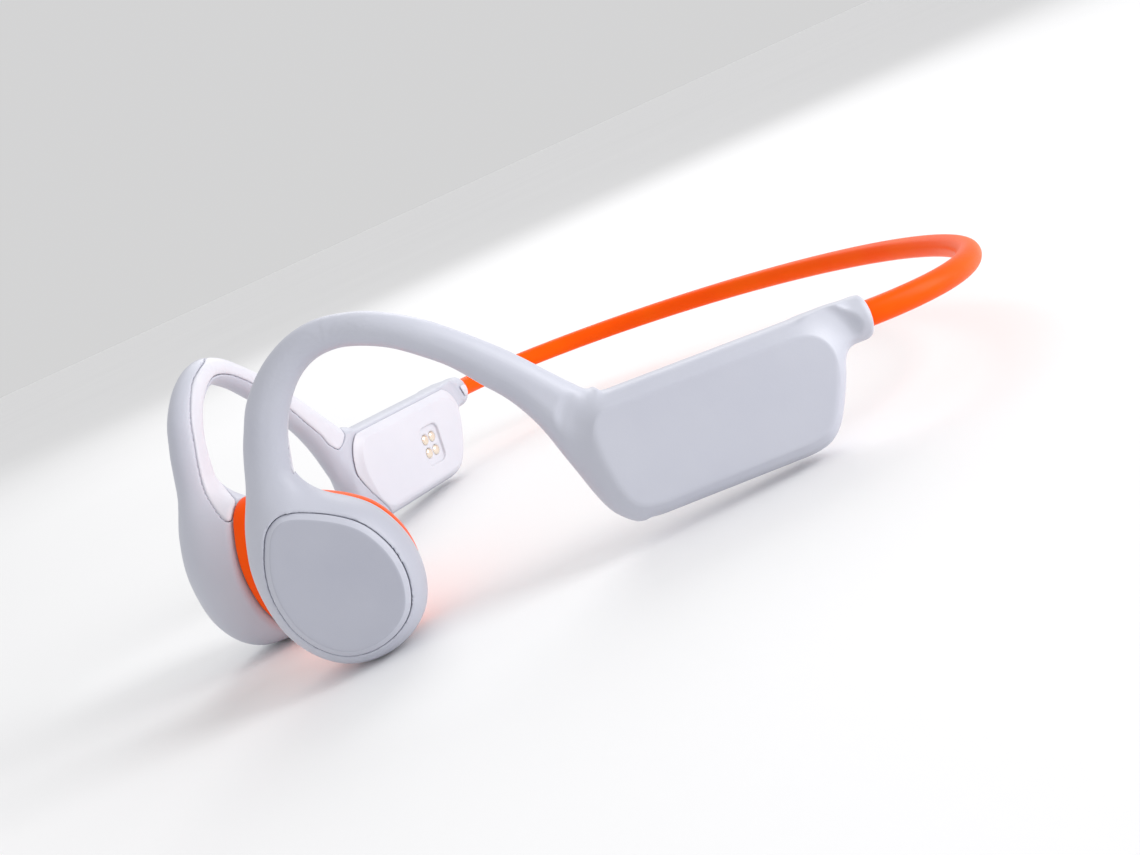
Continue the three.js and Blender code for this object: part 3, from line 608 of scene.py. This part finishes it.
def finish(name, tones, roughness, grain, relief, mottle=120.0, metallic=0.0, streak=None, gloss=0.5):
    """Two close tones mottled together, uneven roughness and a fine grain in relief.

    grain and mottle are in bumps per metre, relief is in metres; streak stretches the grain.
    """
    material = bpy.data.materials.new(name)
    material.use_nodes = True
    nodes, links = material.node_tree.nodes, material.node_tree.links
    shader = nodes["Principled BSDF"]
    place = nodes.new("ShaderNodeTexCoord")

    def noise(scale, detail, stretch=None):
        node = nodes.new("ShaderNodeTexNoise")
        node.inputs["Scale"].default_value = scale
        node.inputs["Detail"].default_value = detail
        source = place.outputs["Object"]
        if stretch:
            mapping = nodes.new("ShaderNodeMapping")
            mapping.inputs["Scale"].default_value = stretch
            links.new(source, mapping.inputs["Vector"])
            source = mapping.outputs["Vector"]
        links.new(source, node.inputs["Vector"])
        return node.outputs["Fac"]

    cloud = noise(mottle, 3)
    ramp = nodes.new("ShaderNodeValToRGB")
    ramp.color_ramp.elements[0].position = 0.35
    ramp.color_ramp.elements[0].color = tones[0]
    ramp.color_ramp.elements[1].position = 0.65
    ramp.color_ramp.elements[1].color = tones[1]
    links.new(cloud, ramp.inputs["Fac"])
    links.new(ramp.outputs["Color"], shader.inputs["Base Color"])

    uneven = nodes.new("ShaderNodeMapRange")
    uneven.inputs["From Min"].default_value = 0.3
    uneven.inputs["From Max"].default_value = 0.7
    uneven.inputs["To Min"].default_value = roughness[0]
    uneven.inputs["To Max"].default_value = roughness[1]
    fine = noise(grain, 2, streak)
    links.new(fine, uneven.inputs["Value"])
    links.new(uneven.outputs["Result"], shader.inputs["Roughness"])

    bump = nodes.new("ShaderNodeBump")
    bump.inputs["Strength"].default_value = 1.0
    bump.inputs["Distance"].default_value = relief
    links.new(fine, bump.inputs["Height"])
    links.new(bump.outputs["Normal"], shader.inputs["Normal"])

    shader.inputs["Metallic"].default_value = metallic
    shader.inputs["Specular IOR Level"].default_value = gloss
    return material


MATERIALS = {
    "shell": finish(
        "soft_touch_shell", (tone(188, 190, 202), tone(192, 194, 205)), (0.40, 0.48),
        grain=3200, relief=6e-6, mottle=60,
    ),
    "cover": finish(
        "inner_cover", (tone(208, 208, 217), tone(212, 212, 220)), (0.38, 0.46),
        grain=3200, relief=6e-6, mottle=60,
    ),
    "disc": finish(
        "disc_face", (tone(172, 174, 187), tone(176, 178, 190)), (0.50, 0.58),
        grain=5200, relief=8e-6, mottle=80,
    ),
    "orange": finish(
        "orange_silicone", (tone(255, 84, 0), tone(255, 92, 0)), (0.32, 0.40),
        grain=2600, relief=7e-6, mottle=90, gloss=0.08,
    ),
    "spring": finish(
        "spring_steel", (tone(176, 178, 182), tone(196, 198, 202)), (0.22, 0.34),
        grain=2600, relief=3e-6, metallic=1.0, streak=(1, 1, 0.1),
    ),
    "steel": finish(
        "driver_steel", (tone(170, 173, 178), tone(190, 192, 196)), (0.26, 0.38),
        grain=2200, relief=4e-6, metallic=1.0,
    ),
    "nickel": finish(
        "nickel_magnet", (tone(190, 188, 180), tone(206, 204, 198)), (0.16, 0.26),
        grain=1500, relief=2e-6, metallic=1.0,
    ),
    "copper": finish(
        "copper_winding", (tone(172, 96, 52), tone(205, 124, 70)), (0.28, 0.40),
        grain=5200, relief=2e-5, metallic=1.0, streak=(0.05, 1, 1),
    ),
    "lead": finish(
        "lead_jacket", (tone(32, 32, 36), tone(42, 42, 46)), (0.48, 0.6), grain=2600, relief=6e-6,
    ),
    "board": finish(
        "circuit_board", (tone(24, 92, 60), tone(30, 108, 70)), (0.34, 0.46),
        grain=1500, relief=1.2e-5, mottle=700,
    ),
    "black": finish(
        "black_plastic", (tone(30, 30, 33), tone(40, 40, 44)), (0.46, 0.6), grain=3000,
        relief=8e-6,
    ),
    "foil": finish(
        "battery_foil", (tone(168, 172, 178), tone(186, 190, 196)), (0.3, 0.46),
        grain=900, relief=2.4e-5, mottle=260, metallic=0.8,
    ),
    "gold": finish(
        "gold_contact", (tone(244, 230, 208), tone(250, 238, 220)), (0.18, 0.28),
        grain=2400, relief=2e-6, metallic=1.0,
    ),
}

# Camera and light


CAMERA_PLACE = (195.91, -140.33, 27.82)  # from the band's middle, in the level frame of the arms
CAMERA_RIGHT = (0.5509, 0.7634, -0.3372)
CAMERA_AHEAD = (-0.832, 0.5339, -0.1504)
CAMERA_SENSOR = 36
CAMERA_LENS = 41.05


def make_camera():
    level = STANDING.to_3x3()
    right = level @ Vector(CAMERA_RIGHT).normalized()
    ahead = level @ Vector(CAMERA_AHEAD)
    ahead = (ahead - right * ahead.dot(right)).normalized()
    above = right.cross(ahead)
    turn = Matrix((right, above, -ahead)).transposed().to_4x4()
    camera = bpy.data.cameras.new("camera")
    camera.sensor_width = CAMERA_SENSOR
    camera.lens = CAMERA_LENS
    camera.clip_start = 0.01
    view = bpy.data.objects.new("camera", camera)
    view.matrix_world = Matrix.Translation(STANDING @ Vector(CAMERA_PLACE) * MM) @ turn
    bpy.context.scene.collection.objects.link(view)
    bpy.context.scene.camera = view


def area_light(name, place, aim, size, power):
    light = bpy.data.lights.new(name, "AREA")
    light.shape = "RECTANGLE"
    light.size, light.size_y = size
    light.energy = power
    lamp = bpy.data.objects.new(name, light)
    direction = Vector(aim) - Vector(place)
    lamp.matrix_world = (
        Matrix.Translation(place) @ direction.to_track_quat("-Z", "Y").to_matrix().to_4x4()
    )
    bpy.context.scene.collection.objects.link(lamp)


SKY_STRENGTH = 0.78
BACKDROP = (0.66, 0.66, 0.663, 1)
FLOOR_REACH = 60.0
FLOOR_GAP = 0.0002  # metres under the feet


def make_studio():
    world = bpy.data.worlds.new("studio")
    bpy.context.scene.world = world
    world.use_nodes = True
    nodes, links = world.node_tree.nodes, world.node_tree.links
    sky = nodes["Background"]
    sky.inputs["Color"].default_value = (1, 1, 1, 1)
    sky.inputs["Strength"].default_value = SKY_STRENGTH
    backdrop = nodes.new("ShaderNodeBackground")
    backdrop.inputs["Color"].default_value = BACKDROP
    seen = nodes.new("ShaderNodeLightPath")
    choose = nodes.new("ShaderNodeMixShader")
    links.new(seen.outputs["Is Camera Ray"], choose.inputs["Fac"])
    links.new(sky.outputs["Background"], choose.inputs[1])
    links.new(backdrop.outputs["Background"], choose.inputs[2])
    links.new(choose.outputs["Shader"], nodes["World Output"].inputs["Surface"])
    floor = bpy.data.meshes.new("floor")
    corners = [(-1, -1), (1, -1), (1, 1), (-1, 1)]
    floor.from_pydata([(x * FLOOR_REACH, y * FLOOR_REACH, 0) for x, y in corners], [], [(0, 1, 2, 3)])
    stand = bpy.data.objects.new("floor", floor)
    bpy.context.scene.collection.objects.link(stand)
    floor.materials.append(finish(
        "pale_floor", (tone(238, 238, 239), tone(240, 240, 241)), (0.7, 0.8), grain=300,
        relief=1e-5, mottle=3,
    ))
    stand.location.z = -FLOOR_GAP
    area_light("right_softbox", (0.45, 0.38, 0.22), (0, 0, 0.02), (0.3, 0.5), 2.9)
    area_light("rear_softbox", (-0.45, 0.4, 0.5), (0, 0, 0.02), (0.5, 0.5), 1.6)
    bpy.context.scene.view_settings.view_transform = "Standard"


# Pieces


def make_arms():
    grid = Grid((-1.5, -24, -21.5), (98.5, 28.5, 6.6), VOXEL)
    fields = arm_fields(grid)
    for side in SIDES:
        own = dock_and_keys(grid, fields) if side == "right" else fields
        for key, node, material in (
            ("shell", "arm_shell", "shell"),
            ("cover", "pod_inner_cover", "cover"),
            ("strip", "hook_inner_strip", "cover"),
        ):
            points, faces = field_mesh(own[key], grid)
            piece = make_piece(
                f"{side}_{node}_moulding", points, faces, ARM[side], MATERIALS[material],
                f"{side}_arm",
            )
            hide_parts(f"{side}_{node}")


def rounded_field(grid_a, grid_b, centre, size, corner):
    """Signed distance to a rounded rectangle in one plane of the grid."""
    a = np.abs(grid_a - centre[0]) - size[0] / 2 + corner
    b = np.abs(grid_b - centre[1]) - size[1] / 2 + corner
    outside = np.hypot(np.maximum(a, 0), np.maximum(b, 0))
    return outside + np.minimum(np.maximum(a, b), 0) - corner


def contact_places():
    dx, dy = CONTACT_SPACING
    u, z = DOCK_CENTRE
    return [(u + a * dx / 2, z + b * dy / 2) for a in (-1, 1) for b in (-1, 1)]


def dock_and_keys(grid, fields):
    """The right arm's fields, with the charging dock and the volume keys' holes."""
    dock = rounded_field(grid.u, grid.z, DOCK_CENTRE, DOCK_SIZE, DOCK_CORNER)
    floor = -POD_HALF + DOCK_DEPTH
    cover = cut(fields["cover"], np.maximum(dock, grid.n - floor), DOCK_EDGE)
    for u, z in contact_places():
        hole = np.hypot(grid.u - u, grid.z - z) - CONTACT_RADIUS - SEAM
        cover = cut(cover, np.maximum(hole, grid.n + POD_HALF - OVERSHOOT), DOCK_EDGE)
    shell = fields["shell"]
    length, width, corner = VOLUME_KEY
    for forward in VOLUME_KEYS.values():
        key = rounded_field(
            grid.u, grid.n, (forward, VOLUME_ACROSS),
            (length + 2 * KEY_GAP, width + 2 * KEY_GAP), corner + KEY_GAP,
        )
        shell = cut(shell, np.maximum(key, grid.z - POD_BOTTOM - OVERSHOOT), KEY_EDGE)
    return {"shell": shell, "cover": cover, "strip": fields["strip"]}


CAP_BACK = 3.2
CHAMFER_LAYERS = 3  # the last layers, which have the face's own finish
CAP_LAYERS = [
    (CAP_BACK, -0.3), (CAP_BACK + 0.1, -SEAM), (4.2, -SEAM), (5.05, -SEAM), (5.14, -0.16),
    (5.21, -0.22), (5.28, -0.3), (5.42, -0.5), (5.56, -0.7), (5.64, -0.82), (5.685, -0.93),
    (CAP_FACE, -1.05),
]


def make_caps():
    for side, node in (("left", "multifunction_button"), ("right", "transducer_cap")):
        rings = stack_rings(EGG, CAP_LAYERS)
        rings = shrink_to_middle(rings, (0.95, 0.8, 0.6, 0.4, 0.2, 0.08))
        points, faces, marks = rings_mesh(rings)
        piece = make_piece(
            f"{side}_{node}_disc", points, faces, ARM[side] @ BOWL,
            [MATERIALS["shell"], MATERIALS["disc"]],
            "multifunction_key" if side == "left" else "right_arm",
        )
        slots = [1 if mark >= len(CAP_LAYERS) - CHAMFER_LAYERS else 0 for mark in marks]
        piece.data.polygons.foreach_set("material_index", slots)
        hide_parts(f"{side}_{node}")


PAD_BASE = -6.4
PAD_THICKNESS = 4.1
PAD_BACK, PAD_RISE, PAD_SWELL = 0.5, 0.25, 0.85
PAD_LAYERS = [  # depth from the face, growth
    (0.0, -4.2), (0.03, -3.2), (0.12, -2.3), (0.28, -1.6), (0.5, -1.05), (0.8, -0.6),
    (1.15, -0.25), (1.5, -0.07), (1.9, 0.0), (3.1, 0.0), (3.9, -0.02), (4.04, -0.07),
    (PAD_THICKNESS, -0.2),
]


def make_pads():
    face = PAD_BASE - PAD_THICKNESS
    layers = [(face + depth, PAD_SWELL + growth) for depth, growth in PAD_LAYERS]
    rings = stack_rings(EGG, layers)
    inner = shrink_to_middle([rings[0]], (0.85, 0.6, 0.35, 0.12))[1:]
    rings = inner[::-1] + rings
    rings = shrink_to_middle(rings, (0.9, 0.6, 0.2))
    points, faces, _ = rings_mesh(rings)
    points = points + (0, PAD_BACK, PAD_RISE)
    for side in SIDES:
        pad = make_piece(
            f"{side}_silicone_pad", points, faces, ARM[side] @ BOWL, MATERIALS["orange"],
            f"{side}_driver",
        )
        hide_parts(f"{side}_skin_contact_pad")


def band_path(seat, steps):
    """The left half of the band's centreline, from inside the pod to the nape."""
    back = np.array((math.sin(ARM_SPLAY), math.cos(ARM_SPLAY), 0))
    leave = np.array((BAND_HALF_WIDTH, 0, 0))
    handles = [
        leave, leave + back * BAND_SIDE_HANDLE,
        np.array((BAND_BACK_HANDLE, BAND_REACH, BAND_RISE)), np.array((0, BAND_REACH, BAND_RISE)),
    ]
    t = np.linspace(0, 1, steps)[:, None]
    weights = ((1 - t) ** 3, 3 * t * (1 - t) ** 2, 3 * t**2 * (1 - t), t**3)
    curve = sum(w * h for w, h in zip(weights, handles))
    held = [leave - back * seat * share for share in (1, 0.75, 0.5, 0.25)]
    return np.vstack([held, curve])


BAND_BORE = 1.35
BAND_SIDES = 40
BAND_STEPS = 120


def make_band():
    for name, node, seat, radius, offset, material in (
        ("band_sleeve", "neckband_sleeve", BAND_SEAT, BAND_RADIUS, 0, "orange"),
        ("band_spring_wire", "neckband_spring_wire", WIRE_SEAT, WIRE_RADIUS, WIRE_OFFSET, "spring"),
        ("band_lead", "neckband_lead_cable", WIRE_SEAT, LEAD_RADIUS, LEAD_OFFSET, "lead"),
    ):
        path = band_path(seat, BAND_STEPS)
        outer = swept(path, circle(radius, BAND_SIDES, offset))
        if node == "neckband_sleeve":
            points, faces = hollow_mesh(outer, swept(path, circle(BAND_BORE, BAND_SIDES)))
        else:
            points, faces, _ = rings_mesh(outer[::-1])
        for side in SIDES:
            place = STANDING if side == "left" else STANDING @ MIRROR
            half = make_piece(
                f"{side}_{name}", points, faces, place, MATERIALS[material], sharp=50,
            )
            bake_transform(half)
            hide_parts(node)


def make_volume_keys():
    length, width, corner = VOLUME_KEY
    loop = rounded_rectangle(length, width, corner)
    layers = [(-0.5, -0.45), (-0.47, -0.28), (-0.38, -0.12), (-0.22, -0.02), (0, 0), (2.0, 0),
              (2.1, -0.1)]
    for name, forward in VOLUME_KEYS.items():
        rings = []
        for height, growth in layers:
            ring = grown(loop, growth)
            z = POD_BOTTOM - VOLUME_PROUD + 0.5 + height
            rings.append(np.stack(
                [VOLUME_ACROSS + ring[:, 1], -forward + ring[:, 0], np.full(len(ring), z)], axis=1,
            )[::-1])
        inner = shrink_to_middle([rings[0]], (0.7, 0.35))[1:]
        points, faces, _ = rings_mesh(inner[::-1] + rings)
        key = make_piece(
            f"right_{name}_key", points, faces, ARM["right"], MATERIALS["shell"], f"{name}_key",
        )
        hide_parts(f"right_{name}_button")


PIN_SIDES = 40
PIN_POINT = 0.02  # radius of the smallest ring


def make_contacts():
    """Plated pins with a slightly domed face, each in a thin bright collar."""
    face = -POD_HALF + DOCK_DEPTH
    profile = [  # radius and distance out
        (0.0, face - 0.26), (0.3, face - 0.255), (0.6, face - 0.235), (0.78, face - 0.2),
        (0.86, face - 0.14), (0.9, face - 0.05), (0.92, face - 0.02), (0.98, face - 0.04),
        (1.03, face - 0.01), (CONTACT_RADIUS, face + 0.06), (CONTACT_RADIUS, -2.9), (0.5, -2.9),
        (0.5, -1.3),
    ]
    for i, (u, z) in enumerate(contact_places()):
        rings = []
        for radius, out in profile:
            ring = circle(max(radius, PIN_POINT), PIN_SIDES)
            across = np.full(PIN_SIDES, out)
            rings.append(np.stack([across, -u - ring[:, 0], z + ring[:, 1]], axis=1)[::-1])
        points, faces, _ = rings_mesh(rings)
        pin = make_piece(
            f"charging_pin_{i + 1}", points, faces, ARM["right"], MATERIALS["gold"], "right_arm",
        )
        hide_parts(f"right_charging_contact_{i + 1}")


CARRIED = {
    "hook_spring_wire": "spring", "band_ferrule": "steel", "driver_yoke": "steel",
    "driver_magnet": "nickel", "pole_plate": "steel", "suspension_spring": "spring",
    "contact_plate": "steel", "voice_coil": "copper", "button_board": "board",
    "tactile_switch": "black", "battery": "foil", "main_board": "board", "shield_can": "foil",
    "contact_carrier": "black", "dock_magnet_1": "nickel", "dock_magnet_2": "nickel",
    "volume_up_switch": "black", "volume_down_switch": "black", "microphone": "foil",
}


def finish_carried_nodes():
    for name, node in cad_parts.items():
        kind = name.split("_", 1)[1]
        if node.hide_render or kind not in CARRIED:
            continue
        node.data.materials.clear()
        node.data.materials.append(MATERIALS[CARRIED[kind]])


make_camera()
make_studio()
make_arms()
make_caps()
make_pads()
make_band()
make_volume_keys()
make_contacts()
finish_carried_nodes()
